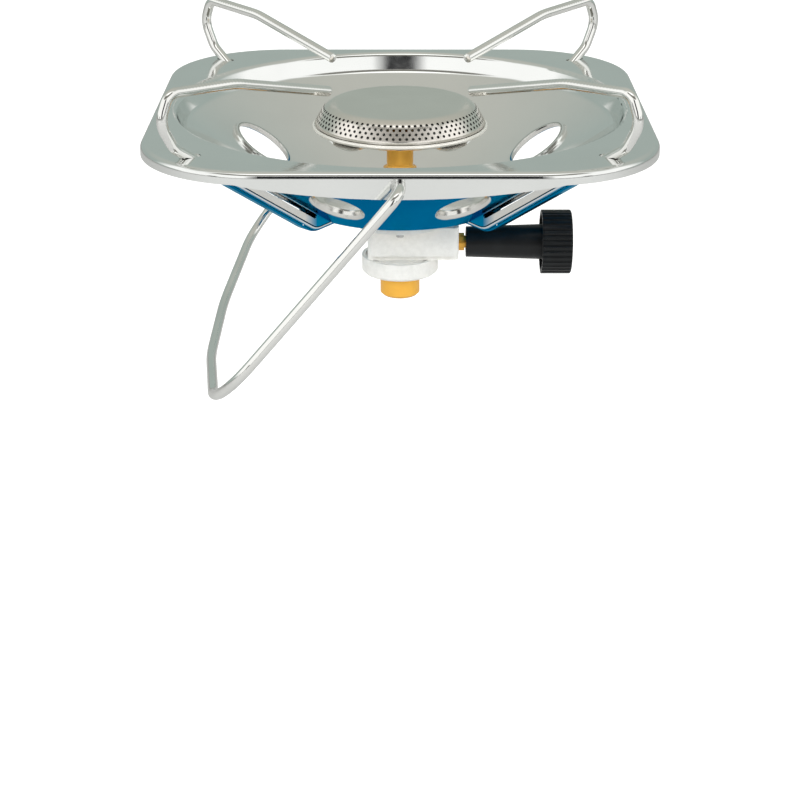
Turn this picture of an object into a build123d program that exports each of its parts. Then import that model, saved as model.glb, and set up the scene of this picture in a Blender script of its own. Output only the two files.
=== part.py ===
import os
from math import asin, atan2, cos, degrees, radians, sin, tan

from build123d import *

os.makedirs("parts", exist_ok=True)

# Gas stove with a screw-in inlet under it. Millimetres, +Z up, -Y front, +X towards the knob.
# The origin is on the stove's axis, on the seat under the valve collar.

# Sheet, wire and clearances
tray_sheet = 0.75
bowl_sheet = 0.6
burner_sheet = 0.7
wire_d = 4.0
running_gap = 0.05
thread_gap = 0.05
loose_gap = 0.15

# Tray: a rounded square with a turned-down skirt
tray_height = 69.0
tray_side = 191.2
tray_corner_r = 46.0
tray_edge_r = 2.2
skirt_depth = 9.7
skirt_corner_depth = 4.6
skirt_arc_half = 58.0

# Dish of the tray: a short steep wall, a cone and a flat floor
dish_r = 88.2
dish_wall_run = 3.2
dish_wall_depth = 7.5
dish_slope = 34.0
dish_mouth_bend = 2.0
dish_foot_bend = 4.0
dish_floor_bend = 5.0

# Air windows through the dish and the bowl: half sizes of the clear opening, and the turned-up lip
window_r = 61.0
window_turn = 22.5
window_slant = 12.0
window_tangential = 9.0
lip_height = 1.7
lip_cove = 1.1
lip_overrun = 1.2
lip_angles = (0, 30, 60, 90)

# Valve casting, from the seat upwards
collar_r = 15.4
collar_h = 7.0
collar_chamfer = 0.9
collar_groove_w = 1.6
collar_groove_depth = 1.0
collar_rim_w = 1.5
block_left = 13.0
block_right = 23.5
block_depth = 21.0
block_h = 14.0
block_edge_r = 2.0
block_ledge_h = 2.1
block_ledge_in = 2.1
flange_r = 19.0
flange_h = 8.6

# Support bowl, nested under the dish, and its channel arms
bowl_rim_r = 79.0
arm_count = 4
arm_width = 10.0
arm_edge_r = 2.4
arm_root_r = 37.0
arm_heel_drop = 1.3
arm_bend_r = 8.0
arm_slot_w = 1.8
arm_slot_offset = 3.0
arm_slot_start = 50.0
arm_slot_end = 88.0

# Pan supports: radii from the axis, heights above the tray
support_tip_r = 38.0
support_tip_h = 11.6
support_kink_r = 84.0
support_kink_h = 22.5
support_kink_bend = 40.0
support_top_r = 114.2
support_top_h = 24.3
support_top_bend = 5.0
support_bulge_r = 118.6
support_bulge_h = 14.5
support_bulge_bend = 9.0
support_heel_bend = 9.0
leg_entry_r = 106.4
leg_heel_r = 113.0
leg_foot_r = 47.6
leg_foot_rise = 0.1
leg_end_r = 54.0

# Carry bail: distances from its hinge axis, and half-widths along Y
bail_hinge_drop = 4.7
bail_lean = 50.0
bail_end_y = 91.2
bail_side_y = 105.2
bail_corner_reach = 104.0
bail_bar_reach = 117.0
bail_bar_flat = 30.0
bail_eye_bend = 5.0
bail_corner_bend = 26.0
bail_bar_bend = 130.0

# Burner
burner_rise = 0.5
burner_top_r = 29.0
burner_top_bend = 5.2
band_foot_r = 33.4
band_height = 7.7
bead_r = 0.8
bead_centre_r = 33.7
cup_floor_drop = 11.5
cup_shoulder_r = 30.0
cup_shoulder_drop = 10.9
cup_bend = 1.4
cup_neck_h = 4.5
lobe_count = 4
lobe_place_r = 26.0
lobe_r = 7.5
lobe_depth = 2.8
hole_rows = 4
holes_per_row = 82
hole_sides = 6
hole_width = 1.1
hole_row_pitch = 1.7
hole_row_first = 1.95

# Mixing tube, its nut and the jet
tube_d = 10.6
tube_bore = 8.4
tube_body_r = 6.6
tube_body_h = 12.4
tube_cove = 1.9
air_hole_d = 3.4
air_hole_rise = 9.0
nut_flats = 19.0
nut_h = 4.6
nut_flange_r = 11.6
nut_flange_h = 1.2
jet_thread_d = 6.0
jet_thread_h = 5.0
jet_flats = 6.2
jet_head_h = 3.0
jet_nose_r = 1.8
jet_nose_h = 1.6
jet_orifice_d = 0.6

# Inlet: spigot, pin and filter
spigot_d = 16.0
spigot_h = 10.0
spigot_lead = 1.0
spigot_shank_d = 12.0
spigot_shank_h = 5.0
spigot_bore = 4.0
spigot_pocket_d = 8.0
spigot_pocket_h = 4.0
pin_d = 2.0
pin_proud = 1.5
pin_flange_h = 1.2
pin_notch_d = 2.4
pin_notch_count = 3
filter_h = 2.2
inlet_passage_d = 4.0

# Spindle line: heights above the seat, lengths along X
spindle_height = 12.0
chamber_d = 8.6
seat_x = 5.0
seat_orifice_d = 2.4
outlet_passage_d = 2.6
outlet_passage_x = 8.0
pad_d = 4.0
pad_h = 1.0
pad_stem_d = 1.6
pad_stem_h = 4.0
pad_travel = 2.0
spindle_d = 5.0
spindle_flange_d = 7.2
spindle_end_x = 44.0
gland_start_x = 12.0
gland_boss_d = 7.2
gland_boss_h = 2.4
o_ring_wire = 1.2
o_ring_pocket = 2.0

# Knob
knob_stem_x = 26.6
knob_stem_r = 6.15
knob_neck_r = 7.1
knob_head_x = 57.0
knob_end_x = 69.0
knob_head_r = 12.9
knob_edge_r = 0.8
knob_recess_in = 8.4
knob_recess_out = 11.2
knob_recess_depth = 6.5
knob_mouth_r = 4.4
knob_mouth_depth = 2.6
knob_flutes = 36
knob_flute_r = 0.62

# Rivets that hold the dish and the bowl on the casting's flange
rivet_d = 3.0
rivet_place = 16.0
rivet_tail = 1.6
rivet_head_r = 2.4
rivet_head_h = 1.2
rivet_count = 2

# Levels and lines that follow from the sizes above
wire_r = wire_d / 2
tube_r = tube_d / 2
tray_under = tray_height - tray_sheet
dish_rise = tan(radians(dish_slope))
dish_lean = cos(radians(dish_slope))
dish_foot_r = dish_r - dish_wall_run
dish_foot_z = tray_height - dish_wall_depth
block_top = collar_h + block_h
bowl_z = block_top + flange_h
bowl_inside_z = bowl_z + bowl_sheet
dish_floor_z = bowl_inside_z + tray_sheet
hinge_z = tray_height - bail_hinge_drop
burner_z = tray_height + burner_rise
cup_floor_z = burner_z - cup_floor_drop
band_angle = atan2(band_height, band_foot_r - burner_top_r)
band_low_z = burner_z - burner_sheet / 2 - band_height - burner_sheet / 2 * cos(band_angle)
bead_z = band_low_z - running_gap - bead_r


def cone_z(r, below=0.0):
    # height at radius r of a cone that runs parallel to the top of the dish, that far under it
    return dish_foot_z - (dish_foot_r - r) * dish_rise - below / dish_lean


def cone_r(z, below=0.0):
    # radius where the same cone reaches height z
    return dish_foot_r - (dish_foot_z - z - below / dish_lean) / dish_rise


# The bowl's sheet lies a loose gap under the dish; these are the depths of the two sheets' middles.
dish_middle = tray_sheet / 2
bowl_top = tray_sheet + loose_gap
bowl_middle = bowl_top + bowl_sheet / 2

# The leg of a pan support is a straight line in its own upright plane, from the arm's foot to the tray.
leg_foot_z = bowl_z + leg_foot_rise
leg_angle = atan2(tray_height - leg_foot_z, leg_entry_r - leg_foot_r)


def leg_z(r, above=0.0):
    # height at radius r of a line that runs parallel to the leg, that far above it
    return leg_foot_z + (r - leg_foot_r) * tan(leg_angle) + above / cos(leg_angle)


def leg_r(z, above=0.0):
    # radius where the same line reaches height z
    return leg_foot_r + (z - leg_foot_z - above / cos(leg_angle)) / tan(leg_angle)


# Plane of a window, on top of the dish, with its normal into the dish
window_plane = Plane(
    origin=(window_r, 0, cone_z(window_r)),
    x_dir=(dish_lean, 0, sin(radians(dish_slope))),
    z_dir=(-sin(radians(dish_slope)), 0, dish_lean),
)


def lip_plug(grow, below, rim):
    # solid inside of a window: straight at the rim, then a cove that runs out on the sheet that far below
    cove = lip_cove + below
    with BuildPart() as plug:
        with BuildSketch(window_plane.offset(rim)):
            Ellipse(window_slant + grow, window_tangential + grow)
        for angle in lip_angles:
            out = grow + cove * (1 - cos(radians(angle)))
            with BuildSketch(window_plane.offset(lip_cove - cove * sin(radians(angle)))):
                Ellipse(window_slant + out, window_tangential + out)
        with BuildSketch(window_plane.offset(-below - lip_overrun)):
            Ellipse(window_slant + grow + cove, window_tangential + grow + cove)
        loft(ruled=True)
    return plug.part


def above_cone(below):
    # ring of space above a cone, to keep a lip from reaching through its sheet
    with BuildPart() as ring:
        with BuildSketch(Plane.XZ):
            with BuildLine():
                low_r = cone_r(dish_floor_z, below)
                Polyline(
                    (low_r, cone_z(low_r, below)),
                    (dish_foot_r, cone_z(dish_foot_r, below)),
                    (dish_foot_r, tray_height),
                    (low_r, tray_height),
                    close=True,
                )
            make_face()
        revolve(axis=Axis.Z)
    return ring.part


# Tray
with BuildPart() as dish_lips:
    for turn in (window_turn, -window_turn):
        with PolarLocations(0, arm_count, start_angle=turn):
            add(lip_plug(bowl_sheet + loose_gap + tray_sheet, 0, lip_height))
    add(above_cone(dish_middle), mode=Mode.INTERSECT)

with BuildPart() as tray_inside:
    with BuildSketch(Plane.XY.offset(tray_under)):
        inside_side = tray_side - 2 * tray_sheet
        RectangleRounded(inside_side, inside_side, tray_corner_r - tray_sheet)
    extrude(amount=-2 * skirt_depth)
    fillet(tray_inside.faces().sort_by(Axis.Z)[-1].edges(), tray_edge_r - tray_sheet)

with BuildPart() as skirt_trim:
    with Locations((0, 0, tray_height - skirt_corner_depth)):
        Box(2 * tray_side, 2 * tray_side, skirt_depth, align=(Align.CENTER, Align.CENTER, Align.MAX))
    for side in (Plane.XZ, Plane.YZ):
        with BuildSketch(side):
            with BuildLine():
                arc_ends_z = tray_height - skirt_corner_depth
                hang = ThreePointArc(
                    (-skirt_arc_half, arc_ends_z),
                    (0, tray_height - skirt_depth),
                    (skirt_arc_half, arc_ends_z),
                )
                Line(hang @ 1, hang @ 0)
            make_face()
        extrude(amount=tray_side, both=True, mode=Mode.SUBTRACT)

with BuildPart() as tray:
    with BuildSketch(Plane.XY.offset(tray_height)):
        RectangleRounded(tray_side, tray_side, tray_corner_r)
    extrude(amount=-skirt_depth)
    fillet(tray.faces().sort_by(Axis.Z)[-1].edges(), tray_edge_r)
    add(tray_inside.part, mode=Mode.SUBTRACT)
    add(skirt_trim.part, mode=Mode.SUBTRACT)
    mouth_r = dish_r + 2 * dish_mouth_bend
    with Locations((0, 0, tray_height)):
        Cylinder(mouth_r, 4 * tray_sheet, mode=Mode.SUBTRACT)
    with BuildSketch(Plane.XZ):
        with BuildLine():
            floor_middle = dish_floor_z - dish_middle
            FilletPolyline(
                (mouth_r, tray_height - dish_middle),
                (dish_r, tray_height - dish_middle),
                (dish_foot_r, cone_z(dish_foot_r, dish_middle)),
                (cone_r(floor_middle, dish_middle), floor_middle),
                (tube_body_r + thread_gap, floor_middle),
                radius=[dish_mouth_bend, dish_foot_bend, dish_floor_bend],
            )
        trace(line_width=tray_sheet)
    revolve(axis=Axis.Z)
    add(dish_lips.part)
    for turn in (window_turn, -window_turn):
        with PolarLocations(0, arm_count, start_angle=turn):
            add(lip_plug(bowl_sheet + loose_gap, tray_sheet, lip_height + lip_overrun), mode=Mode.SUBTRACT)
    with BuildSketch(Plane.XY.offset(dish_floor_z)):
        with PolarLocations(rivet_place, rivet_count, start_angle=90):
            Circle(rivet_d / 2 + running_gap)
    extrude(amount=-tray_sheet, mode=Mode.SUBTRACT)
    for way in (1, -1):
        with BuildSketch(Plane.XZ.offset(way * tray_side / 2)):
            with Locations((0, hinge_z)):
                Circle(wire_r + running_gap)
        extrude(amount=-way * (tray_edge_r + tray_sheet), mode=Mode.SUBTRACT)
    with BuildSketch(Plane.XY.offset(tray_height)):
        entry_middle = (leg_r(tray_height) + leg_r(tray_under)) / 2
        entry_length = wire_d / sin(leg_angle) + leg_r(tray_height) - leg_r(tray_under)
        with PolarLocations(entry_middle, arm_count, start_angle=45):
            SlotOverall(entry_length + 2 * loose_gap, wire_d + 2 * loose_gap)
    extrude(amount=-2 * tray_sheet, mode=Mode.SUBTRACT)
tray.part.label = "tray"
export_step(tray.part, "parts/tray.step")

# Support bowl
with BuildPart() as bowl_lips:
    for turn in (window_turn, -window_turn):
        with PolarLocations(0, arm_count, start_angle=turn):
            add(lip_plug(bowl_sheet, bowl_top, lip_height))
    add(above_cone(bowl_middle), mode=Mode.INTERSECT)

# Arm of the bowl: a channel that holds the wire's leg, with a slot through both of its sides
arm_below = -(wire_r + loose_gap + bowl_sheet)
arm_end_z = tray_under - running_gap
heel_z = bowl_z - arm_heel_drop
bowl_floor_middle = bowl_z + bowl_sheet / 2
bowl_corner_r = cone_r(bowl_floor_middle, bowl_middle)
with BuildPart() as arm:
    with BuildSketch(Plane.XZ) as arm_side:
        with BuildLine():
            Polyline(
                (arm_root_r, bowl_z),
                (leg_r(heel_z, arm_below), heel_z),
                (leg_r(arm_end_z, arm_below), arm_end_z),
                (cone_r(arm_end_z, bowl_middle), arm_end_z),
                (bowl_corner_r, bowl_floor_middle),
                (arm_root_r, bowl_floor_middle),
                close=True,
            )
        make_face()
        arm_heel = (leg_r(heel_z, arm_below), 0, heel_z)
        heel = arm_side.vertices().sort_by_distance(arm_heel)[0]
        fillet(heel, arm_bend_r)
    extrude(amount=arm_width / 2, both=True)
    low_edges = [
        edge
        for edge in arm.edges()
        if abs(abs(edge.center().Y) - arm_width / 2) < loose_gap
        and edge.center().Z < leg_z(edge.center().X, arm_below / 2)
        and edge.center().X > arm_root_r + loose_gap
        and edge.center().Z > heel_z - loose_gap
    ]
    fillet(low_edges, arm_edge_r)
with BuildPart() as arm_hollow:
    with BuildSketch(Plane.XZ) as hollow_side:
        with BuildLine():
            hollow_below = arm_below + bowl_sheet
            hollow_end_z = arm_end_z + tray_sheet
            Polyline(
                (arm_root_r, bowl_inside_z),
                (leg_r(heel_z + bowl_sheet, hollow_below), heel_z + bowl_sheet),
                (leg_r(hollow_end_z, hollow_below), hollow_end_z),
                (cone_r(hollow_end_z), hollow_end_z),
                (cone_r(dish_floor_z), dish_floor_z),
                (arm_root_r, dish_floor_z),
                close=True,
            )
        make_face()
        hollow_heel = (leg_r(heel_z + bowl_sheet, hollow_below), 0, heel_z + bowl_sheet)
        heel = hollow_side.vertices().sort_by_distance(hollow_heel)[0]
        fillet(heel, arm_bend_r - bowl_sheet)
    extrude(amount=arm_width / 2 - bowl_sheet, both=True)
with BuildPart() as arm_slot:
    slot_middle_r = (arm_slot_start + arm_slot_end) / 2
    with BuildSketch(Plane.XZ):
        with Locations((slot_middle_r, leg_z(slot_middle_r, arm_slot_offset))):
            slot_length = (arm_slot_end - arm_slot_start) / cos(leg_angle)
            SlotOverall(slot_length, arm_slot_w, rotation=degrees(leg_angle))
    extrude(amount=arm_width, both=True)

with BuildPart() as support_bowl:
    with BuildSketch(Plane.XZ):
        with BuildLine():
            FilletPolyline(
                (tube_body_r + thread_gap, bowl_floor_middle),
                (bowl_corner_r, bowl_floor_middle),
                (bowl_rim_r, cone_z(bowl_rim_r, bowl_middle)),
                radius=dish_floor_bend + bowl_middle - dish_middle,
            )
        trace(line_width=bowl_sheet)
    revolve(axis=Axis.Z)
    with PolarLocations(0, arm_count, start_angle=45):
        add(arm.part)
    with PolarLocations(0, arm_count, start_angle=45):
        add(arm_hollow.part, mode=Mode.SUBTRACT)
    with PolarLocations(0, arm_count, start_angle=45):
        add(arm_slot.part, mode=Mode.SUBTRACT)
    add(bowl_lips.part)
    for turn in (window_turn, -window_turn):
        with PolarLocations(0, arm_count, start_angle=turn):
            add(lip_plug(0, bowl_top + bowl_sheet, lip_height + lip_overrun), mode=Mode.SUBTRACT)
    with BuildSketch(Plane.XY.offset(bowl_z)):
        with PolarLocations(rivet_place, rivet_count, start_angle=90):
            Circle(rivet_d / 2 + running_gap)
    extrude(amount=bowl_sheet, mode=Mode.SUBTRACT)
support_bowl.part.label = "support_bowl"
export_step(support_bowl.part, "parts/support_bowl.step")

# Pan supports, one bent wire on each diagonal
support_angles = {"back_right": 45, "back_left": 135, "front_left": 225, "front_right": 315}
for corner, angle in support_angles.items():
    turn = radians(angle)
    upright = Plane(origin=(0, 0, 0), x_dir=(cos(turn), sin(turn), 0), z_dir=(sin(turn), -cos(turn), 0))
    with BuildPart() as pan_support:
        with BuildLine(upright) as support_path:
            FilletPolyline(
                (support_tip_r, tray_height + support_tip_h),
                (support_kink_r, tray_height + support_kink_h),
                (support_top_r, tray_height + support_top_h),
                (support_bulge_r, tray_height + support_bulge_h),
                (leg_heel_r, leg_z(leg_heel_r)),
                (leg_end_r, leg_z(leg_end_r)),
                radius=[support_kink_bend, support_top_bend, support_bulge_bend, support_heel_bend],
            )
        with BuildSketch(Plane(origin=support_path.line @ 0, z_dir=support_path.line % 0)):
            Circle(wire_r)
        sweep()
    pan_support.part.label = "pan_support_" + corner
    export_step(pan_support.part, "parts/pan_support_" + corner + ".step")

# Carry bail, leaning to the left as it does on its stop
lean = radians(bail_lean)
bail_plane = Plane(origin=(0, 0, hinge_z), x_dir=(-cos(lean), 0, -sin(lean)), z_dir=(sin(lean), 0, -cos(lean)))
with BuildPart() as carry_bail:
    with BuildLine(bail_plane) as bail_path:
        FilletPolyline(
            (0, -bail_end_y),
            (0, -bail_side_y),
            (bail_corner_reach, -bail_side_y),
            (bail_bar_reach, -bail_bar_flat),
            (bail_bar_reach, bail_bar_flat),
            (bail_corner_reach, bail_side_y),
            (0, bail_side_y),
            (0, bail_end_y),
            radius=[
                bail_eye_bend,
                bail_corner_bend,
                bail_bar_bend,
                bail_bar_bend,
                bail_corner_bend,
                bail_eye_bend,
            ],
        )
    with BuildSketch(Plane(origin=bail_path.line @ 0, z_dir=bail_path.line % 0)):
        Circle(wire_r)
    sweep()
carry_bail.part.label = "carry_bail"
export_step(carry_bail.part, "parts/carry_bail.step")

# Burner cap: a flat top and a sloping band with staggered rows of holes
with BuildPart() as band_pins:
    for row in range(hole_rows):
        along = hole_row_first + row * hole_row_pitch
        row_r = burner_top_r + along * cos(band_angle)
        row_z = burner_z - along * sin(band_angle)
        row_plane = Plane(
            origin=(row_r, 0, row_z),
            x_dir=(0, 1, 0),
            z_dir=(sin(band_angle), 0, cos(band_angle)),
        )
        with BuildPart(mode=Mode.PRIVATE) as band_pin:
            with BuildSketch(row_plane):
                RegularPolygon(hole_width / 2, hole_sides)
            extrude(amount=2 * burner_sheet, both=True)
        stagger = (row % 2) * 180 / holes_per_row
        with PolarLocations(0, holes_per_row, start_angle=stagger):
            add(band_pin.part)

with BuildPart() as burner_cap:
    with BuildSketch(Plane.XZ):
        with BuildLine():
            top_line_z = burner_z - burner_sheet / 2
            FilletPolyline(
                (0, top_line_z),
                (burner_top_r, top_line_z),
                (band_foot_r, top_line_z - band_height),
                radius=burner_top_bend,
            )
        trace(line_width=burner_sheet)
    revolve(axis=Axis.Z)
    add(band_pins.part, mode=Mode.SUBTRACT)
burner_cap.part.label = "burner_cap"
export_step(burner_cap.part, "parts/burner_cap.step")

# Burner cup: a shallow lobed cup with a rolled bead and a neck that sits on the tube
with BuildPart() as cup_lobe:
    with BuildSketch(Plane.XZ):
        with BuildLine():
            dome_r = (lobe_r**2 + lobe_depth**2) / (2 * lobe_depth)
            dome = CenterArc((0, dome_r - lobe_depth), dome_r, 270, degrees(asin(lobe_r / dome_r)))
            Polyline(dome @ 1, (0, 0), dome @ 0)
        make_face()
    revolve(axis=Axis.Z)
with BuildPart() as burner_cup:
    with BuildSketch(Plane.XZ):
        with BuildLine():
            neck_r = tube_r + thread_gap + burner_sheet / 2
            FilletPolyline(
                (neck_r, cup_floor_z - cup_neck_h),
                (neck_r, cup_floor_z),
                (cup_shoulder_r, burner_z - cup_shoulder_drop),
                (bead_centre_r, bead_z),
                radius=cup_bend,
            )
        trace(line_width=burner_sheet)
        with Locations((bead_centre_r, bead_z)):
            Circle(bead_r)
    revolve(axis=Axis.Z)
    with PolarLocations(lobe_place_r, lobe_count, start_angle=45):
        add(cup_lobe.part.moved(Location((0, 0, cup_floor_z))))
burner_cup.part.label = "burner_cup"
export_step(burner_cup.part, "parts/burner_cup.step")

# Mixing tube: a thick drilled body screwed into the casting, with a cove up to the slim tube
tube_foot_z = block_top
tube_body_z = dish_floor_z + tube_body_h
with BuildPart() as mixing_tube:
    with BuildSketch(Plane.XZ):
        with BuildLine():
            body_corner = (tube_body_r, tube_body_z)
            tube_root = (tube_r, tube_body_z + tube_cove)
            Polyline(
                tube_root,
                (tube_r, cup_floor_z),
                (tube_bore / 2, cup_floor_z),
                (tube_bore / 2, tube_foot_z),
                (tube_body_r, tube_foot_z),
                body_corner,
            )
            TangentArc(body_corner, tube_root, tangent=(-1, 0))
        make_face()
    revolve(axis=Axis.Z)
    for turn in (0, 90):
        with Locations(Location((0, 0, dish_floor_z + air_hole_rise), (90, 0, turn))):
            Cylinder(air_hole_d / 2, 4 * tube_body_r, mode=Mode.SUBTRACT)
mixing_tube.part.label = "mixing_tube"
export_step(mixing_tube.part, "parts/mixing_tube.step")

# Flanged nut that clamps the dish and the bowl on the casting
with BuildPart() as tube_nut:
    with BuildSketch(Plane.XY.offset(dish_floor_z)):
        Circle(nut_flange_r)
    extrude(amount=nut_flange_h)
    with BuildSketch(Plane.XY.offset(dish_floor_z + nut_flange_h)):
        RegularPolygon(nut_flats / 2, 6, major_radius=False)
    extrude(amount=nut_h)
    with BuildSketch(Plane.XY.offset(dish_floor_z)):
        Circle(tube_body_r + thread_gap)
    extrude(amount=nut_flange_h + nut_h, mode=Mode.SUBTRACT)
tube_nut.part.label = "tube_nut"
export_step(tube_nut.part, "parts/tube_nut.step")

# Jet at the foot of the tube
jet_seat_z = tube_foot_z
with BuildPart() as gas_jet:
    with BuildSketch(Plane.XY.offset(jet_seat_z)):
        Circle(jet_thread_d / 2)
    extrude(amount=-jet_thread_h)
    with BuildSketch(Plane.XY.offset(jet_seat_z)):
        RegularPolygon(jet_flats / 2, 6, major_radius=False)
    extrude(amount=jet_head_h)
    with BuildSketch(Plane.XY.offset(jet_seat_z + jet_head_h)):
        Circle(jet_nose_r)
    extrude(amount=jet_nose_h)
    with BuildSketch(Plane.XY.offset(jet_seat_z - jet_thread_h)):
        Circle(outlet_passage_d / 2)
    extrude(amount=jet_thread_h + jet_head_h, mode=Mode.SUBTRACT)
    with BuildSketch(Plane.XY.offset(jet_seat_z)):
        Circle(jet_orifice_d / 2)
    extrude(amount=jet_head_h + jet_nose_h, mode=Mode.SUBTRACT)
gas_jet.part.label = "gas_jet"
export_step(gas_jet.part, "parts/gas_jet.step")

# Valve casting: collar, block and flange, with its drillings
chamber_r = chamber_d / 2
with BuildPart() as valve_body:
    with BuildSketch():
        Circle(collar_r)
    extrude(amount=collar_h)
    chamfer(valve_body.faces().sort_by(Axis.Z)[0].edges(), collar_chamfer)
    with BuildSketch(Plane.XY.offset(collar_h)):
        Circle(collar_r - collar_rim_w)
        Circle(collar_r - collar_rim_w - collar_groove_w, mode=Mode.SUBTRACT)
    extrude(amount=-collar_groove_depth, mode=Mode.SUBTRACT)
    with BuildSketch(Plane.XY.offset(collar_h)):
        with Locations(((block_right - block_left) / 2, 0)):
            RectangleRounded(block_left + block_right, block_depth - 2 * block_ledge_in, block_edge_r)
    extrude(amount=block_ledge_h)
    with BuildSketch(Plane.XY.offset(collar_h + block_ledge_h)):
        with Locations(((block_right - block_left) / 2, 0)):
            RectangleRounded(block_left + block_right, block_depth, block_edge_r)
    extrude(amount=block_h - block_ledge_h)
    with BuildSketch(Plane.XY.offset(block_top)):
        Circle(flange_r)
    extrude(amount=flange_h)
    with BuildSketch():
        Circle(spigot_shank_d / 2 + thread_gap)
    extrude(amount=spigot_shank_h, mode=Mode.SUBTRACT)
    with BuildSketch():
        Circle(inlet_passage_d / 2)
    extrude(amount=spindle_height + seat_orifice_d / 2, mode=Mode.SUBTRACT)
    with BuildSketch(Plane.YZ.offset(seat_x)):
        with Locations((0, spindle_height)):
            Circle(chamber_r)
    extrude(amount=block_right - seat_x, mode=Mode.SUBTRACT)
    with BuildSketch(Plane.YZ):
        with Locations((0, spindle_height)):
            Circle(seat_orifice_d / 2)
    extrude(amount=seat_x, mode=Mode.SUBTRACT)
    with BuildSketch(Plane.XY.offset(jet_seat_z)):
        Circle(jet_thread_d / 2 + thread_gap)
    extrude(amount=-jet_thread_h, mode=Mode.SUBTRACT)
    with BuildSketch(Plane.XY.offset(jet_seat_z)):
        Circle(tube_body_r + thread_gap)
    extrude(amount=bowl_z - jet_seat_z, mode=Mode.SUBTRACT)
    outlet_foot = Vector(outlet_passage_x, 0, spindle_height + chamber_r / 2)
    outlet_head = Vector(0, 0, jet_seat_z - jet_thread_h + outlet_passage_d / 2)
    with BuildSketch(Plane(origin=outlet_foot, z_dir=outlet_head - outlet_foot)):
        Circle(outlet_passage_d / 2)
    extrude(amount=(outlet_head - outlet_foot).length, mode=Mode.SUBTRACT)
    with BuildSketch(Plane.XY.offset(block_top)):
        with PolarLocations(rivet_place, rivet_count, start_angle=90):
            Circle(rivet_d / 2 + running_gap)
    extrude(amount=flange_h, mode=Mode.SUBTRACT)
valve_body.part.label = "valve_body"
export_step(valve_body.part, "parts/valve_body.step")

# Inlet spigot, the pin that opens the supply's valve, and the filter above it
with BuildPart() as inlet_spigot:
    with BuildSketch():
        Circle(spigot_d / 2)
    extrude(amount=-spigot_h)
    chamfer(inlet_spigot.faces().sort_by(Axis.Z)[0].edges(), spigot_lead)
    with BuildSketch():
        Circle(spigot_shank_d / 2)
    extrude(amount=spigot_shank_h)
    with BuildSketch(Plane.XY.offset(-spigot_h)):
        Circle(spigot_bore / 2)
    extrude(amount=spigot_h + spigot_shank_h, mode=Mode.SUBTRACT)
    with BuildSketch(Plane.XY.offset(spigot_shank_h)):
        Circle(spigot_pocket_d / 2)
    extrude(amount=-spigot_pocket_h, mode=Mode.SUBTRACT)
inlet_spigot.part.label = "inlet_spigot"
export_step(inlet_spigot.part, "parts/inlet_spigot.step")

pin_seat_z = spigot_shank_h - spigot_pocket_h
with BuildPart() as depressor_pin:
    with BuildSketch(Plane.XY.offset(pin_seat_z)):
        Circle(spigot_pocket_d / 2 - thread_gap)
        with PolarLocations(spigot_bore / 2, pin_notch_count):
            Circle(pin_notch_d / 2, mode=Mode.SUBTRACT)
        Circle(pin_d / 2)
    extrude(amount=pin_flange_h)
    with BuildSketch(Plane.XY.offset(-spigot_h - pin_proud)):
        Circle(pin_d / 2)
    extrude(amount=pin_seat_z + spigot_h + pin_proud)
depressor_pin.part.label = "depressor_pin"
export_step(depressor_pin.part, "parts/depressor_pin.step")

with BuildPart() as inlet_filter:
    with BuildSketch(Plane.XY.offset(pin_seat_z + pin_flange_h)):
        Circle(spigot_pocket_d / 2 - thread_gap)
    extrude(amount=filter_h)
inlet_filter.part.label = "inlet_filter"
export_step(inlet_filter.part, "parts/inlet_filter.step")

# Gland nut with the pocket of its ring
gland_end_x = block_right + gland_boss_h
with BuildPart() as gland_nut:
    with BuildSketch(Plane.YZ.offset(gland_start_x)):
        with Locations((0, spindle_height)):
            Circle(chamber_r - thread_gap)
    extrude(amount=block_right - gland_start_x)
    with BuildSketch(Plane.YZ.offset(block_right)):
        with Locations((0, spindle_height)):
            Circle(gland_boss_d / 2)
    extrude(amount=gland_boss_h)
    with BuildSketch(Plane.YZ.offset(gland_start_x)):
        with Locations((0, spindle_height)):
            Circle(spindle_d / 2 + running_gap)
    extrude(amount=gland_end_x - gland_start_x, mode=Mode.SUBTRACT)
    with BuildSketch(Plane.YZ.offset(gland_start_x)):
        with Locations((0, spindle_height)):
            Circle(spindle_d / 2 + 2 * running_gap + o_ring_wire)
    extrude(amount=o_ring_pocket, mode=Mode.SUBTRACT)
gland_nut.part.label = "gland_nut"
export_step(gland_nut.part, "parts/gland_nut.step")

with BuildPart() as spindle_o_ring:
    ring_x = gland_start_x + o_ring_pocket - o_ring_wire / 2
    with BuildSketch(Plane.XZ):
        with Locations((ring_x, spindle_height + spindle_d / 2 + running_gap + o_ring_wire / 2)):
            Circle(o_ring_wire / 2)
    revolve(axis=Axis((0, 0, spindle_height), (1, 0, 0)))
spindle_o_ring.part.label = "spindle_o_ring"
export_step(spindle_o_ring.part, "parts/spindle_o_ring.step")

# Pad that closes the seat, and the spindle that turns in place and draws the pad's stem in
with BuildPart() as valve_pad:
    with BuildSketch(Plane.YZ.offset(seat_x + running_gap)):
        with Locations((0, spindle_height)):
            Circle(pad_d / 2)
    extrude(amount=pad_h)
    with BuildSketch(Plane.YZ.offset(seat_x + running_gap + pad_h)):
        with Locations((0, spindle_height)):
            Circle(pad_stem_d / 2)
    extrude(amount=pad_stem_h)
valve_pad.part.label = "valve_pad"
export_step(valve_pad.part, "parts/valve_pad.step")

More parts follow.
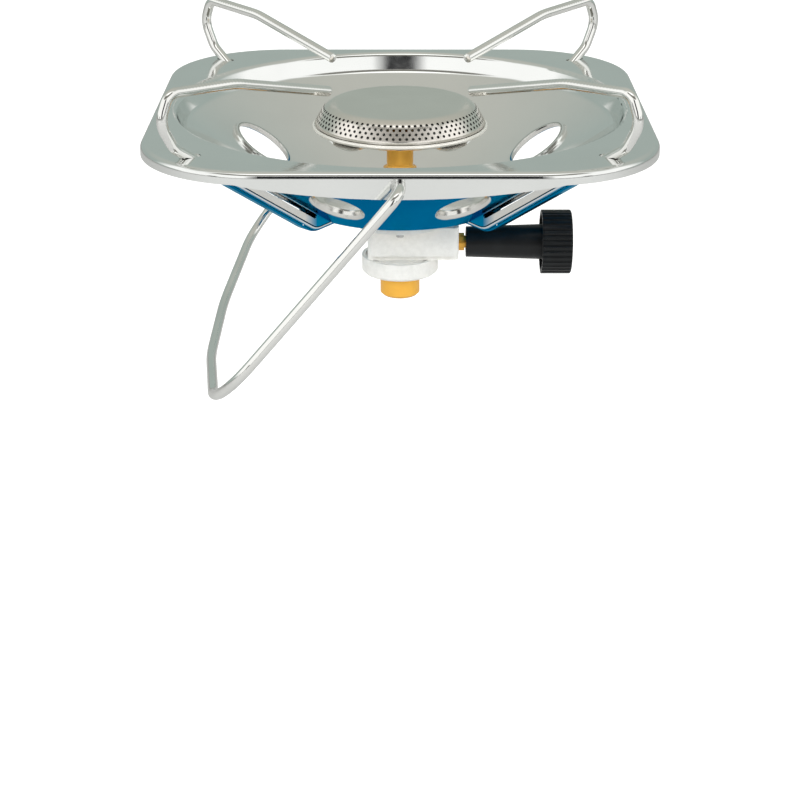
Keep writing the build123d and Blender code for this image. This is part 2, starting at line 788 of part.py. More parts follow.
spindle_tip_x = seat_x + 2 * running_gap + pad_h + pad_travel
with BuildPart() as valve_spindle:
    with BuildSketch(Plane.YZ.offset(spindle_tip_x)):
        with Locations((0, spindle_height)):
            Circle(spindle_flange_d / 2)
    extrude(amount=gland_start_x - running_gap - spindle_tip_x)
    with BuildSketch(Plane.YZ.offset(spindle_tip_x)):
        with Locations((0, spindle_height)):
            Circle(spindle_d / 2)
    extrude(amount=spindle_end_x - spindle_tip_x)
    with BuildSketch(Plane.YZ.offset(spindle_tip_x)):
        with Locations((0, spindle_height)):
            Circle(pad_stem_d / 2 + running_gap)
    extrude(amount=pad_stem_h + running_gap, mode=Mode.SUBTRACT)
valve_spindle.part.label = "valve_spindle"
export_step(valve_spindle.part, "parts/valve_spindle.step")

# Knob: tapered stem, fluted head with a hollow back, and the socket of the spindle
knob_axis = Axis((0, 0, spindle_height), (1, 0, 0))
with BuildPart() as control_knob:
    with BuildSketch(Plane.XZ):
        with BuildLine():
            recess_x = knob_head_x + knob_recess_depth
            Polyline(
                (knob_stem_x + knob_mouth_depth, spindle_height),
                (knob_stem_x + knob_mouth_depth, spindle_height + knob_mouth_r),
                (knob_stem_x, spindle_height + knob_mouth_r),
                (knob_stem_x, spindle_height + knob_stem_r),
                (knob_head_x, spindle_height + knob_neck_r),
                (recess_x, spindle_height + knob_recess_in),
                (recess_x, spindle_height + knob_recess_out),
                (knob_head_x, spindle_height + knob_recess_out),
                (knob_head_x, spindle_height + knob_head_r),
                (knob_end_x, spindle_height + knob_head_r),
                (knob_end_x, spindle_height),
                close=True,
            )
        make_face()
    revolve(axis=knob_axis)
    fillet(control_knob.faces().sort_by(Axis.X)[-1].edges(), knob_edge_r)
    with BuildSketch(Plane.YZ.offset(knob_head_x)):
        with Locations((0, spindle_height)):
            with PolarLocations(knob_head_r, knob_flutes):
                RegularPolygon(knob_flute_r, 6)
    extrude(amount=knob_end_x - knob_head_x, mode=Mode.SUBTRACT)
    with BuildSketch(Plane.YZ.offset(knob_stem_x)):
        with Locations((0, spindle_height)):
            Circle(spindle_d / 2 + running_gap)
    extrude(amount=spindle_end_x - knob_stem_x, mode=Mode.SUBTRACT)
control_knob.part.label = "control_knob"
export_step(control_knob.part, "parts/control_knob.step")

# Rivets through the dish, the bowl and the flange
with BuildPart() as bowl_rivets:
    with PolarLocations(rivet_place, rivet_count, start_angle=90):
        with Locations((0, 0, block_top - rivet_tail)):
            shank = rivet_tail + dish_floor_z - block_top
            Cylinder(rivet_d / 2, shank, align=(Align.CENTER, Align.CENTER, Align.MIN))
        with Locations((0, 0, dish_floor_z)):
            Cylinder(rivet_head_r, rivet_head_h, align=(Align.CENTER, Align.CENTER, Align.MIN))
bowl_rivets.part.label = "bowl_rivets"
export_step(bowl_rivets.part, "parts/bowl_rivets.step")
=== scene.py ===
from math import cos, pi, radians, sin, tan

import bpy
import numpy as np
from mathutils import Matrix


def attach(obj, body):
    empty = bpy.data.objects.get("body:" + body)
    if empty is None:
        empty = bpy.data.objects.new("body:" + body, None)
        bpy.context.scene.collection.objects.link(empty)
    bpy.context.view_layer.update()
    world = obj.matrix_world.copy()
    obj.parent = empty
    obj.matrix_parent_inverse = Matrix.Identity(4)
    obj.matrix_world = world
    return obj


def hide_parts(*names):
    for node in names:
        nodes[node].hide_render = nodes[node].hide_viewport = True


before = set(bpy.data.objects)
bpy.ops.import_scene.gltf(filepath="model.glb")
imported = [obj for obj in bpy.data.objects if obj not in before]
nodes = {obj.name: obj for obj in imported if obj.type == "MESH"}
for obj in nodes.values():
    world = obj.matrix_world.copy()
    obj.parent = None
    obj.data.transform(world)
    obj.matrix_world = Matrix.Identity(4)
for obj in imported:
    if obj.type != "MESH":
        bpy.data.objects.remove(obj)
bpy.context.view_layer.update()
scene = bpy.context.scene
scene.view_settings.view_transform = "Standard"
white = (1, 1, 1, 1)
print("frame loaded:", len(nodes), "nodes")


# Shader graphs
class Graph:
    # the nodes of a material or a world; add() makes a node, sets its inputs and links whatever is a socket
    def __init__(self, owner):
        owner.use_nodes = True
        self.owner = owner
        self.tree = owner.node_tree
        self.place = self.add("ShaderNodeTexCoord").outputs

    def put(self, node, settings):
        for key, value in settings.items():
            socket = node.inputs[key]
            if isinstance(value, bpy.types.NodeSocket):
                self.tree.links.new(value, socket)
            else:
                socket.default_value = value

    def add(self, kind, settings=None, **attributes):
        node = self.tree.nodes.new(kind)
        for key, value in attributes.items():
            setattr(node, key, value)
        self.put(node, settings or {})
        return node

    def math(self, operation, *values):
        return self.add("ShaderNodeMath", dict(enumerate(values)), operation=operation).outputs[0]

    def length(self, first, second):
        squares = [self.math("POWER", value, 2) for value in (first, second)]
        return self.math("SQRT", self.math("ADD", *squares))

    def axes(self, vector):
        return self.add("ShaderNodeSeparateXYZ", {0: vector}).outputs

    def noise(self, scale, detail, rough=0.5, vector=None):
        settings = {"Scale": scale, "Detail": detail, "Roughness": rough}
        settings["Vector"] = vector or self.place["Object"]
        return self.add("ShaderNodeTexNoise", settings).outputs["Fac"]

    def remap(self, value, low, high, toLow, toHigh):
        settings = {"Value": value, "From Min": low, "From Max": high, "To Min": toLow, "To Max": toHigh}
        return self.add("ShaderNodeMapRange", settings).outputs[0]

    def between(self, value, low, lowFull, highFull, high):
        rising = self.remap(value, low, lowFull, 0, 1)
        return self.math("MULTIPLY", rising, self.remap(value, highFull, high, 1, 0))

    def patches(self, noise, band, depth=1):
        return self.remap(self.noise(*noise), *band, 0, depth)

    def mix(self, factor, first, second):
        # inputs 6 and 7 and output 2 of this node are its colours
        colours = {0: factor, 6: first, 7: second}
        return self.add("ShaderNodeMix", colours, data_type="RGBA").outputs[2]

    def bump(self, height, strength, distance, normal=None):
        settings = {"Height": height, "Strength": strength, "Distance": distance}
        if normal:
            settings["Normal"] = normal
        return self.add("ShaderNodeBump", settings).outputs[0]

    def surface(self, **settings):
        shader = self.tree.nodes["Principled BSDF"]
        self.put(shader, {key.replace("_", " "): value for key, value in settings.items()})
        return self.owner


def paint(material, *names):
    for name in names:
        slots = nodes[name].data.materials
        slots.clear()
        slots.append(material)


# Finishes: a noise is its scale per metre, detail and, where given, roughness; a band is where a noise
# starts and ends to show; a bump is its strength and its height in metres
grainBand = (0.3, 0.7)
sheetLook = {
    "bright": (0.86, 0.87, 0.86, 1),
    "cloudy": (0.82, 0.83, 0.82, 1),
    "rough": (0.07, 0.12),
    "bump": (0.03, 0.001),
}
wireLook = {
    "bright": (0.88, 0.88, 0.86, 1),
    "cloudy": (0.80, 0.80, 0.78, 1),
    "rough": (0.05, 0.09),
    "bump": (0.05, 0.001),
}
chromeGrain = {"clouds": (35, 4), "cloudBand": (0.35, 0.7), "polish": (240, 3), "ripples": (90, 2)}


def chromeFinish(name, look):
    # plated steel: faint clouds in colour and gloss, and a very fine ripple of the steel under it
    g = Graph(bpy.data.materials.new(name))
    clouds = g.patches(chromeGrain["clouds"], chromeGrain["cloudBand"])
    return g.surface(
        Base_Color=g.mix(clouds, look["bright"], look["cloudy"]),
        Metallic=1.0,
        Roughness=g.remap(g.noise(*chromeGrain["polish"]), *grainBand, *look["rough"]),
        Normal=g.bump(g.noise(*chromeGrain["ripples"]), *look["bump"]),
    )


blueLook = {
    "deep": (0.0, 0.20, 0.41, 1),
    "light": (0.0, 0.25, 0.48, 1),
    "edge": (0.0, 0.50, 0.70, 1),
    # painted highlight along the rolled edges of the channels
    "rolled": (0.78, 0.80, 0.82, 1),
    # painted shade line just above that highlight
    "paintedShadeLine": (0.004, 0.025, 0.040, 1),
    # bare metal of the window lips, also used as a painted highlight on the channels' upright sides
    "bareAndPaintedHighlight": (0.80, 0.79, 0.76, 1),
    "clouds": (40, 3),
    "cloudBand": (0.35, 0.7),
    "grain": (160, 3),
    "rough": (0.16, 0.24),
    "ripples": (110, 2),
    "bump": (0.04, 0.001),
    "sideTo": (0.01, 0.05),  # how far a face may look down and still be painted bright
    "sideFrom": (0.050, 0.056),  # radius in metres past which such faces are painted bright
    "paintedShadeLineBand": (0.01, 0.05, 0.13, 0.19),
    "rolledBand": (0.15, 0.22, 0.33, 0.46),
}
windowPlace = {
    "radius": 0.0610,
    "turn": 22.5,
    "slope": 34.0,
    "slant": 0.012,
    "tangential": 0.009,
    "lip": 0.0013,
    "fray": (300, 3),
    "frayReach": 0.02,
    "bareEdge": (0.97, 1.0),
}


def blueFinish():
    # plated steel coloured blue, with a painted highlight on the rolled edges of the channels and a painted
    # shade line above it. It is bare metal on the turned-in lips of the windows, and past a radius the faces
    # that don't look down, such as the channels' upright sides, take that bare colour as a painted highlight
    look = blueLook
    window = windowPlace
    g = Graph(bpy.data.materials.new("blueSheet"))
    axes = g.axes(g.place["Object"])
    radius = g.length(axes[0], axes[1])
    # the eight windows fold onto one: the angle from the nearest axis, less the window's own
    folded = g.math("PINGPONG", g.math("ARCTAN2", axes[1], axes[0]), pi / 4)
    beside = g.math("SUBTRACT", folded, radians(window["turn"]))
    sideways = g.math("MULTIPLY", radius, g.math("SINE", beside))
    outward = g.math("SUBTRACT", g.math("MULTIPLY", radius, g.math("COSINE", beside)), window["radius"])
    across = g.math("DIVIDE", sideways, window["tangential"] + window["lip"])
    along = g.math("DIVIDE", outward, (window["slant"] + window["lip"]) * cos(radians(window["slope"])))
    fray = g.remap(g.noise(*window["fray"]), 0, 1, -window["frayReach"], window["frayReach"])
    lip = g.remap(g.math("ADD", g.length(across, along), fray), *window["bareEdge"], 1, 0)
    down = g.math("MULTIPLY", g.axes(g.place["Normal"])[2], -1)
    upright = g.remap(down, *look["sideTo"], 1, 0)
    # past the radius, faces that don't look down get the bare colour as a painted highlight in place of the
    # bright slot beside each channel
    side = g.math("MULTIPLY", upright, g.remap(radius, *look["sideFrom"], 0, 1))
    bareAndPaintedHighlight = g.math("MAXIMUM", lip, side)
    blueTone = g.mix(g.patches(look["clouds"], look["cloudBand"]), look["deep"], look["light"])
    # painted shade line on the upper part of the rolled edges, chosen by normal direction
    shadeLined = g.mix(g.between(down, *look["paintedShadeLineBand"]), blueTone, look["paintedShadeLine"])
    # painted highlight on the rolled edges, chosen by how far the face looks down
    rolled = g.between(down, *look["rolledBand"])
    coloured = g.mix(rolled, shadeLined, look["rolled"])
    return g.surface(
        Base_Color=g.mix(bareAndPaintedHighlight, coloured, look["bareAndPaintedHighlight"]),
        Metallic=1.0,
        Specular_Tint=g.mix(g.math("MAXIMUM", bareAndPaintedHighlight, rolled), look["edge"], white),
        Roughness=g.remap(g.noise(*look["grain"]), *grainBand, *look["rough"]),
        Normal=g.bump(g.noise(*look["ripples"]), *look["bump"]),
    )


steelLook = {
    "pale": (0.86, 0.82, 0.77, 1),
    "dark": (0.82, 0.78, 0.73, 1),
    "rough": (0.20, 0.24),
    "metal": 1.0,
}
# painted shade: near-black steel for the inside of the cap and the walls of its holes
paintedShadeLook = {
    "pale": (0.035, 0.030, 0.026, 1),
    "dark": (0.015, 0.013, 0.012, 1),
    "rough": (0.50, 0.65),
    "metal": 1.0,
}
cupLook = {
    "pale": (0.86, 0.84, 0.79, 1),
    "dark": (0.78, 0.76, 0.71, 1),
    "rough": (0.14, 0.20),
    "metal": 0.6,
}
steelGrain = {"clouds": (60, 3), "cloudBand": (0.3, 0.7), "grain": (900, 4, 0.6), "bump": (0.006, 0.0003)}


def burnerSteelFinish(name, look):
    # satin stainless sheet with a fine even grain
    g = Graph(bpy.data.materials.new(name))
    grain = g.noise(*steelGrain["grain"])
    clouds = g.patches(steelGrain["clouds"], steelGrain["cloudBand"])
    return g.surface(
        Base_Color=g.mix(clouds, look["pale"], look["dark"]),
        Metallic=look["metal"],
        Roughness=g.remap(grain, *grainBand, *look["rough"]),
        Normal=g.bump(grain, *steelGrain["bump"]),
    )


brassLook = {
    "gold": (1.0, 0.53, 0.075, 1),
    "brown": (0.94, 0.45, 0.06, 1),
    "stains": (120, 4),
    "stainBand": (0.4, 0.75),
    "stainDepth": 0.8,
    "metal": 0.45,
    "lines": (60, 4, 0.6),
    "rough": (0.16, 0.26),
    "bump": (0.012, 0.0003),
}


def brassFinish(name, stretch):
    # turned brass: fine tool lines round the axis along which the stretch packs them
    look = brassLook
    g = Graph(bpy.data.materials.new(name))
    drawn = g.add("ShaderNodeMapping", {"Vector": g.place["Object"], "Scale": stretch}).outputs[0]
    lines = g.noise(*look["lines"], vector=drawn)
    stains = g.patches(look["stains"], look["stainBand"], look["stainDepth"])
    return g.surface(
        Base_Color=g.mix(stains, look["gold"], look["brown"]),
        Metallic=look["metal"],
        Roughness=g.remap(lines, *grainBand, *look["rough"]),
        Normal=g.bump(lines, *look["bump"]),
    )


castingLook = {
    "pale": (0.97, 0.96, 0.92, 1),
    "shade": (0.90, 0.89, 0.85, 1),
    "metal": 0.05,
    "grain": (900, 5, 0.7),
    "rough": (0.38, 0.6),
    "grainBump": (0.30, 0.0006),
    "pits": (380, 4, 0.6),
    "pitBand": (0.35, 0.65),
    "pitBump": (0.25, 0.0008),
}


def castingFinish():
    # sand-blasted casting: coarse bright grain over shallow pits
    look = castingLook
    g = Graph(bpy.data.materials.new("sandBlastedCasting"))
    grain = g.noise(*look["grain"])
    pits = g.noise(*look["pits"])
    return g.surface(
        Base_Color=g.mix(g.remap(pits, *look["pitBand"], 0, 1), look["pale"], look["shade"]),
        Metallic=look["metal"],
        Roughness=g.remap(grain, *grainBand, *look["rough"]),
        Normal=g.bump(grain, *look["grainBump"], g.bump(pits, *look["pitBump"])),
    )


knobLook = {
    "black": (0.004, 0.005, 0.006, 1),
    "worn": (0.008, 0.010, 0.011, 1),
    "wear": (120, 3),
    "wearBand": (0.45, 0.7),
    "grain": (1400, 3, 0.6),
    "rough": (0.28, 0.40),
    "shine": 0.35,
    "bump": (0.10, 0.0003),
}


def knobFinish():
    # moulded plastic: fine spark-eroded grain, slightly paler in worn patches
    look = knobLook
    g = Graph(bpy.data.materials.new("mouldedBlackPlastic"))
    grain = g.noise(*look["grain"])
    return g.surface(
        Base_Color=g.mix(g.patches(look["wear"], look["wearBand"]), look["black"], look["worn"]),
        Roughness=g.remap(grain, *grainBand, *look["rough"]),
        Specular_IOR_Level=look["shine"],
        Normal=g.bump(grain, *look["bump"]),
    )


rubberLook = {
    "black": (0.018, 0.018, 0.018, 1),
    "bloom": (0.035, 0.035, 0.036, 1),
    "patches": (300, 3),
    "patchBand": (0.4, 0.7),
    "grain": (1500, 3),
    "rough": (0.55, 0.75),
    "bump": (0.1, 0.0003),
}


def rubberFinish():
    # matt seal rubber with a faint grey bloom
    look = rubberLook
    g = Graph(bpy.data.materials.new("sealRubber"))
    grain = g.noise(*look["grain"])
    return g.surface(
        Base_Color=g.mix(g.patches(look["patches"], look["patchBand"]), look["black"], look["bloom"]),
        Roughness=g.remap(grain, *grainBand, *look["rough"]),
        Normal=g.bump(grain, *look["bump"]),
    )


platedLook = {
    "bright": (0.56, 0.56, 0.55, 1),
    "dull": (0.48, 0.48, 0.46, 1),
    "patches": (200, 3),
    "patchBand": (0.4, 0.7),
    "grain": (800, 3),
    "rough": (0.2, 0.35),
    "bump": (0.08, 0.0003),
}


def platedSteelFinish():
    # dull plating on the rivets and the pin
    look = platedLook
    g = Graph(bpy.data.materials.new("platedSteel"))
    grain = g.noise(*look["grain"])
    return g.surface(
        Base_Color=g.mix(g.patches(look["patches"], look["patchBand"]), look["bright"], look["dull"]),
        Metallic=1.0,
        Roughness=g.remap(grain, *grainBand, *look["rough"]),
        Normal=g.bump(grain, *look["bump"]),
    )


sinteredLook = {
    "beads": (0.42, 0.26, 0.10, 1),
    # painted shade in the pores, on the low spots of the bump
    "poreShade": (0.12, 0.07, 0.03, 1),
    "grain": (2500, 2),
    "poreBand": (0.35, 0.65),
    "metal": 0.9,
    "rough": 0.55,
    "bump": (0.6, 0.0006),
}


def sinteredFinish():
    # bronze beads pressed together, with painted shade in the pores between them
    look = sinteredLook
    g = Graph(bpy.data.materials.new("sinteredBronze"))
    grain = g.noise(*look["grain"])
    return g.surface(
        Base_Color=g.mix(g.remap(grain, *look["poreBand"], 0, 1), look["beads"], look["poreShade"]),
        Metallic=look["metal"],
        Roughness=look["rough"],
        Normal=g.bump(grain, *look["bump"]),
    )


wireChrome = chromeFinish("wireChrome", wireLook)
burnerSteel = burnerSteelFinish("burnerSteel", steelLook)
# painted shade inside the burner cap and down its holes
paintedShadeSteel = burnerSteelFinish("paintedShadeSteel", paintedShadeLook)
paint(chromeFinish("sheetChrome", sheetLook), "tray")
paint(burnerSteelFinish("cupSteel", cupLook), "burner_cup")
paint(wireChrome, "carry_bail")
paint(blueFinish(), "support_bowl")
paint(brassFinish("turnedBrass", (1, 1, 40)), "mixing_tube", "tube_nut", "gas_jet", "inlet_spigot")
paint(brassFinish("spindleBrass", (40, 1, 1)), "gland_nut", "valve_spindle")
paint(castingFinish(), "valve_body")
paint(knobFinish(), "control_knob")
paint(rubberFinish(), "valve_pad", "spindle_o_ring")
paint(platedSteelFinish(), "bowl_rivets", "depressor_pin")
paint(sinteredFinish(), "inlet_filter")
print("finishes given to the packed nodes")


# Pieces made as grids of points
def gridPiece(name, layers, node):
    # each layer is a material and its grids, arrays of rows of points whose rows close on themselves; all the
    # grids join in one mesh
    points = []
    faces = []
    slots = []
    start = 0
    mesh = bpy.data.meshes.new(name)
    for slot, (material, grids) in enumerate(layers):
        mesh.materials.append(material)
        for grid in grids:
            rows, columns = grid.shape[:2]
            index = start + np.arange(rows * columns).reshape(rows, columns)
            beside = np.roll(index, -1, axis=1)
            quads = np.stack([index[:-1], beside[:-1], beside[1:], index[1:]], axis=-1).reshape(-1, 4)
            faces.append(quads)
            slots.append(np.full(len(quads), slot))
            points.append(grid.reshape(-1, 3))
            start += rows * columns
    mesh.from_pydata(np.concatenate(points).tolist(), [], np.concatenate(faces).tolist())
    mesh.polygons.foreach_set("material_index", np.concatenate(slots))
    mesh.shade_smooth()
    piece = bpy.data.objects.new(name, mesh)
    scene.collection.objects.link(piece)
    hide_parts(node)
    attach(piece, "stove")


def roundedLine(corners, bends, spacing, arcSteps):
    # even points on a broken line whose inner corners are arcs of the given radii, tangent to both sides
    corners = np.array(corners, float)
    before, middle, after = corners[:-2], corners[1:-1], corners[2:]
    back = (before - middle) / np.linalg.norm(before - middle, axis=1, keepdims=True)
    ahead = (after - middle) / np.linalg.norm(after - middle, axis=1, keepdims=True)
    half = np.arccos((back * ahead).sum(axis=1)) / 2
    inward = (back + ahead) / np.linalg.norm(back + ahead, axis=1, keepdims=True)
    centre = middle + inward * (bends / np.sin(half))[:, None]
    sweep = np.linspace(-1, 1, arcSteps)[None, :, None] * (pi / 2 - half)[:, None, None]
    side = (ahead - back) / np.linalg.norm(ahead - back, axis=1, keepdims=True)
    arcs = centre[:, None] + bends[:, None, None] * (
        -np.cos(sweep) * inward[:, None] + np.sin(sweep) * side[:, None]
    )
    line = np.concatenate([corners[:1], arcs.reshape(-1, 2), corners[-1:]])
    length = np.concatenate([[0], np.cumsum(np.linalg.norm(np.diff(line, axis=0), axis=1))])
    along = np.linspace(0, length[-1], int(length[-1] / spacing))
    return along, np.column_stack([np.interp(along, length, line[:, axis]) for axis in (0, 1)])


# Pan supports: bent wires with a row of pressed notches on top that keep a pan from sliding
supportLook = {
    "wire": 0.004,
    "corners": ((0.0380, 0.0806), (0.0840, 0.0915), (0.1142, 0.09327), (0.1186, 0.0835)),
    "bends": (0.040, 0.005, 0.009, 0.009),
    "legHeel": 0.1130,
    "legEnd": 0.0540,
    "legEntry": (0.1064, 0.0690),
    "legFoot": (0.0476, 0.0297),
    "spacing": 0.00025,
    "arcSteps": 25,
    "round": 40,
    "endEdge": 0.0004,
    "notchPitch": 0.0015,
    "notchDepth": 0.00020,
    "notchFrom": 0.004,
    "notchTo": 0.072,
    "notchNarrow": 4,
}
supportTurns = {"back_right": 45, "back_left": 135, "front_left": 225, "front_right": 315}


def supportWire(turn):
    # swept circle: path(s) + radius(s, v) (cos v up + sin v aside), where the radius shrinks over a
    # quarter-round edge at both ends, which close flat, and dips in half-cosine notches on the wire's
    # upper side
    look = supportLook
    footOut, footHeight = look["legFoot"]
    entryOut, entryHeight = look["legEntry"]
    legRise = (entryHeight - footHeight) / (entryOut - footOut)
    legs = [(place, footHeight + (place - footOut) * legRise) for place in (look["legHeel"], look["legEnd"])]
    corners = list(look["corners"]) + legs
    along, path = roundedLine(corners, np.array(look["bends"]), look["spacing"], look["arcSteps"])
    radius = look["wire"] / 2
    edge = look["endEdge"]
    fromEnd = np.minimum(along, along[-1] - along)
    rounding = np.clip(1 - fromEnd / edge, 0, 1)
    plain = radius - edge + edge * np.sqrt(1 - rounding**2)
    heading = np.gradient(path, axis=0)
    heading /= np.linalg.norm(heading, axis=1, keepdims=True)
    up = np.column_stack([-heading[:, 1], heading[:, 0]])
    around = np.linspace(0, 2 * pi, look["round"], endpoint=False)
    inside = (along > look["notchFrom"]) & (along < look["notchTo"])
    teeth = np.clip(np.cos(2 * pi * along / look["notchPitch"]), 0, 1) * inside
    reach = np.clip(np.cos(around), 0, 1) ** look["notchNarrow"]
    swept = plain[:, None] - look["notchDepth"] * teeth[:, None] * reach[None, :]
    closed = np.zeros((1, look["round"]))
    swept = np.concatenate([closed, swept, closed])
    path = np.concatenate([path[:1], path, path[-1:]])
    up = np.concatenate([up[:1], up, up[-1:]])
    inPlane = path[:, None] + swept[..., None] * np.cos(around)[None, :, None] * up[:, None]
    aside = swept * np.sin(around)[None, :]
    out = np.array([cos(turn), sin(turn)])
    flat = np.array([sin(turn), -cos(turn)])
    level = inPlane[..., :1] * out + aside[..., None] * flat
    return np.concatenate([level, inPlane[..., 1:]], axis=-1)


for corner, turn in supportTurns.items():
    wire = supportWire(radians(turn))
    gridPiece("notchedSupport_" + corner, [(wireChrome, [wire])], "pan_support_" + corner)
print("pan supports made")

# Burner cap: a drawn lid whose sloping band has staggered rows of round holes
capLook = {
    "top": 0.0695,
    "topRadius": 0.0290,
    "bandFoot": 0.0334,
    "bandHeight": 0.0077,
    "bend": 0.0052,
    "sheet": 0.0007,
    "rows": 4,
    "holesPerRow": 82,
    "firstRow": 0.00185,
    "rowPitch": 0.0017,
    "hole": 0.00112,
    "around": 328,
    "flatSteps": 30,
    "bowSteps": 14,
    "ringSteps": 24,
}


def burnerCap():
    # outer line of the lid by its length s past the flat top: an arc of radius bend, then the straight band.
    # It is turned round the axis above and below the holes, and between them each hole has one square cell,
    # whose rings run from the cell's edge to the hole's edge and down its wall
    look = capLook
    sheet = look["sheet"]
    half = sheet / 2
    lean = np.arctan2(look["bandHeight"], look["bandFoot"] - look["topRadius"])
    bend = look["bend"] + half
    bowed = bend * lean
    tangent = bend * tan(lean / 2)
    flatEnd = look["topRadius"] + half * tan(lean / 2) - tangent
    lineEnd = bowed - tangent + look["bandHeight"] / sin(lean) + half * tan(lean / 2)
    firstRow = bowed - tangent + look["firstRow"]
    spin = np.linspace(0, 2 * pi, look["around"], endpoint=False)

    def line(s, depth):
        bow = np.minimum(s / bend, lean)
        beyond = np.maximum(s - bowed, 0)
        radius = flatEnd + (bend - depth) * np.sin(bow) + beyond * cos(lean)
        height = look["top"] - bend + (bend - depth) * np.cos(bow) - beyond * sin(lean)
        return radius, height

    def turned(outline):
        radius, height = outline[:, :1], outline[:, 1:]
        level = [radius * np.cos(spin), radius * np.sin(spin)]
        return np.stack(level + [np.repeat(height, spin.size, axis=1)], axis=-1)

    holesStart = firstRow - look["rowPitch"] / 2
    holesEnd = holesStart + look["rows"] * look["rowPitch"]
    flat = np.linspace(0, flatEnd, look["flatSteps"])[:-1]
    bow = np.linspace(0, holesStart, look["bowSteps"])
    below = np.array([holesEnd, lineEnd])
    top = np.column_stack([flat, np.full(flat.size, look["top"])])
    outside = np.concatenate([top, np.column_stack(line(bow, 0))])
    inside = np.concatenate([top - [0, sheet], np.column_stack(line(bow, sheet))])
    foot = np.concatenate([np.column_stack(line(below, 0)), np.column_stack(line(below[::-1], sheet))])

    # every other row is turned by half a hole
    step = 2 * pi / look["holesPerRow"]
    row, hole = np.meshgrid(np.arange(look["rows"]), np.arange(look["holesPerRow"]), indexing="ij")
    middle = (firstRow + row * look["rowPitch"]).ravel()
    facing = ((hole + row % 2 / 2) * step).ravel()
    # rings of a cell: its square edge, the hole's edge, and the foot of the hole's wall
    tip = np.linspace(0, 2 * pi, look["ringSteps"], endpoint=False)
    square = 1 / np.maximum(np.abs(np.cos(tip)), np.abs(np.sin(tip)))
    middleRadius = line(middle, 0)[0]
    holeAcross = look["hole"] / 2 * np.cos(tip)[None, :] / middleRadius[:, None]
    holeAlong = look["hole"] / 2 * np.sin(tip)
    edgeAcross = np.broadcast_to(square * np.cos(tip) * step / 2, holeAcross.shape)
    edgeAlong = square * np.sin(tip) * look["rowPitch"] / 2
    angle = np.stack([edgeAcross, holeAcross, holeAcross], axis=1) + facing[:, None, None]
    along = np.stack([edgeAlong, holeAlong, holeAlong]) + middle[:, None, None]
    radius, height = line(along, np.array([0, 0, sheet])[None, :, None])
    cells = np.stack([radius * np.cos(angle), radius * np.sin(angle), height], axis=-1)
    bright = [turned(outside), turned(foot[:3])] + list(cells[:, :2])
    # the hole walls and the cap's inside take the painted shade
    paintedShadeFaces = [turned(foot[2:]), turned(inside[::-1])] + list(cells[:, 1:])
    return [(burnerSteel, bright), (paintedShadeSteel, paintedShadeFaces)]


gridPiece("perforatedCap", burnerCap(), "burner_cap")
print("burner cap made")

# Floor, light and camera: turns and widths are radians from the front, rises are heights on a unit sphere
studio = {
    "floorLevel": -0.20,
    "floorHalf": 6.0,
    "floorColour": (0.44, 0.44, 0.44, 1),
    "floorRough": 0.9,
    "floorGlow": 0.75,
    "wall": (0.39, 0.45, 0.42, 1),
    "ceiling": (0.55, 0.55, 0.50, 1),
    "ceilingFrom": (0.25, 0.95),
    "frontLight": (1.12, 1.12, 1.10, 1),
    "frontHigh": (1.6, 1.6, 1.56, 1),
    "highFrom": (0.82, 0.92),
    "shade": (0.22, 0.215, 0.19, 1),
    "shadeTurn": (0.95, 1.15),
    "shadeRise": (0.62, 0.67, 0.84, 0.92),
    "frontFrom": (0.06, 0.26),  # distance forward on that sphere
    "wrapTurn": (1.65, 2.0),
    "wrapRise": (0.02, 0.12, 0.60, 0.80),
    "dark": (0.02, 0.02, 0.022, 1),
    "lensWide": (0.12, 0.28),
    "lensRise": (-0.12, -0.06, 0.55, 0.62),
    "standTurn": 0.78,
    "standWide": (0.05, 0.09),
    "standRise": (-0.6, -0.5, 0.05, 0.12),
}
softBoxes = {  # place, aim, size, power in watts
    "frontLeftBox": ((-1.3, -1.5, 1.3), (0, 0, 0.05), (0.9, 1.2), 38),
    "frontRightBox": ((1.4, -1.3, 1.2), (0, 0, 0.05), (0.9, 1.2), 33),
    "overheadBox": ((0.0, 0.1, 1.9), (0, 0, 0.05), (1.4, 1.0), 10),
}
cameraLook = {
    "place": (0, -0.7266, 0.2564),
    "pitchDown": 23.39,
    "lens": 84.95,
    "sensor": 36,
    "nearest": 0.01,
}


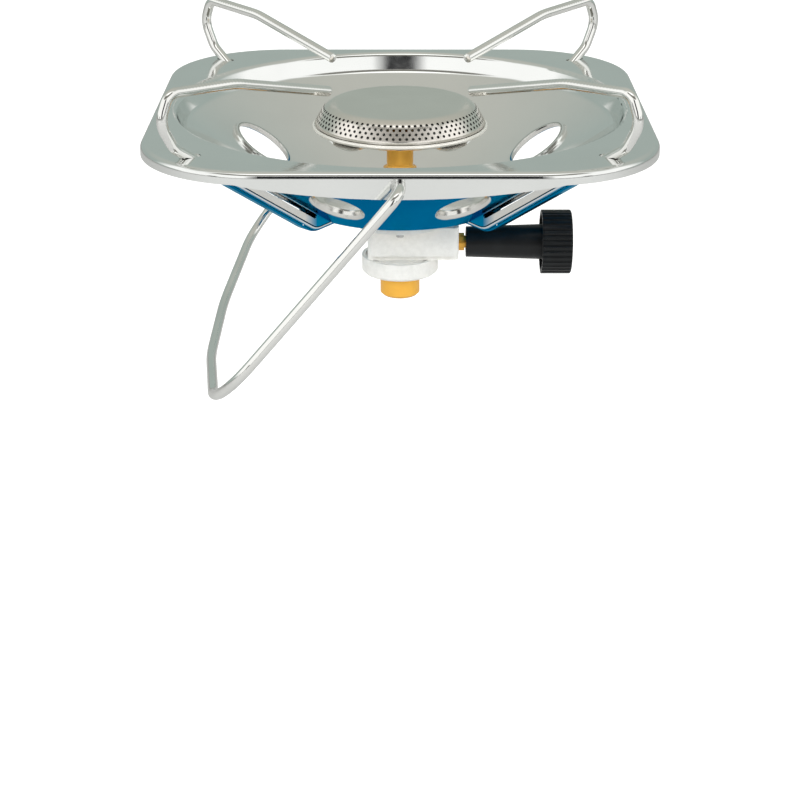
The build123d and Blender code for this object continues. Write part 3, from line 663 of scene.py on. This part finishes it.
def studioWorld():
    # grey-green walls that lighten to the ceiling, and a pale screen in front and to the sides. The screen is
    # brighter at the top, shaded in a zone under that, dark at the lens in its middle and dark at two stands
    # beside it. To the camera all of it is white
    scene.world = bpy.data.worlds.new("studioWalls")
    g = Graph(scene.world)
    axes = g.axes(g.place["Generated"])
    rise = axes[2]
    ahead = g.math("MULTIPLY", axes[1], -1)
    turn = g.math("ABSOLUTE", g.math("ARCTAN2", axes[0], ahead))

    def zone(away, wide, rises):
        return g.math("MULTIPLY", g.remap(away, *wide, 1, 0), g.between(rise, *rises))

    room = g.mix(g.remap(rise, *studio["ceilingFrom"], 0, 1), studio["wall"], studio["ceiling"])
    wrap = zone(turn, studio["wrapTurn"], studio["wrapRise"])
    lit = g.math("MAXIMUM", wrap, g.remap(ahead, *studio["frontFrom"], 0, 1))
    pale = g.mix(g.remap(rise, *studio["highFrom"], 0, 1), studio["frontLight"], studio["frontHigh"])
    shade = zone(turn, studio["shadeTurn"], studio["shadeRise"])
    screen = g.mix(lit, room, g.mix(shade, pale, studio["shade"]))
    lens = zone(turn, studio["lensWide"], studio["lensRise"])
    fromStand = g.math("ABSOLUTE", g.math("SUBTRACT", turn, studio["standTurn"]))
    stand = zone(fromStand, studio["standWide"], studio["standRise"])
    walls = g.mix(g.math("MAXIMUM", lens, stand), screen, studio["dark"])
    seen = g.add("ShaderNodeLightPath").outputs["Is Camera Ray"]
    g.put(g.tree.nodes["Background"], {"Color": g.mix(seen, walls, white), "Strength": 1.0})


def paleFloor():
    # a grey square whose glow only the camera sees, so that it shows white and the glow lights nothing
    half = studio["floorHalf"]
    level = studio["floorLevel"]
    corners = [(-half, -half, level), (half, -half, level), (half, half, level), (-half, half, level)]
    mesh = bpy.data.meshes.new("floor")
    mesh.from_pydata(corners, [], [(0, 1, 2, 3)])
    g = Graph(bpy.data.materials.new("paleFloor"))
    seen = g.add("ShaderNodeLightPath").outputs["Is Camera Ray"]
    mesh.materials.append(
        g.surface(
            Base_Color=studio["floorColour"],
            Roughness=studio["floorRough"],
            Specular_IOR_Level=0.0,
            Emission_Color=white,
            Emission_Strength=g.math("MULTIPLY", seen, studio["floorGlow"]),
        )
    )
    floor = bpy.data.objects.new("floor", mesh)
    scene.collection.objects.link(floor)


def softBox(name, place, target, size, power):
    # a lamp that faces its target and doesn't show in the metal
    lamp = bpy.data.lights.new(name, "AREA")
    lamp.shape = "RECTANGLE"
    lamp.size, lamp.size_y = size
    lamp.energy = power
    direction = np.subtract(target, place)
    box = bpy.data.objects.new(name, lamp)
    box.location = place
    box.rotation_euler = (
        np.arctan2(np.hypot(direction[0], direction[1]), -direction[2]),
        0,
        np.arctan2(-direction[0], direction[1]),
    )
    box.visible_glossy = False
    scene.collection.objects.link(box)


def photoCamera():
    camera = bpy.data.cameras.new("photoCamera")
    camera.lens = cameraLook["lens"]
    camera.sensor_width = cameraLook["sensor"]
    camera.clip_start = cameraLook["nearest"]
    holder = bpy.data.objects.new("photoCamera", camera)
    holder.location = cameraLook["place"]
    holder.rotation_euler = (pi / 2 - radians(cameraLook["pitchDown"]), 0, 0)
    scene.collection.objects.link(holder)
    scene.camera = holder


studioWorld()
paleFloor()
for name, settings in softBoxes.items():
    softBox(name, *settings)
photoCamera()
print("studio ready")
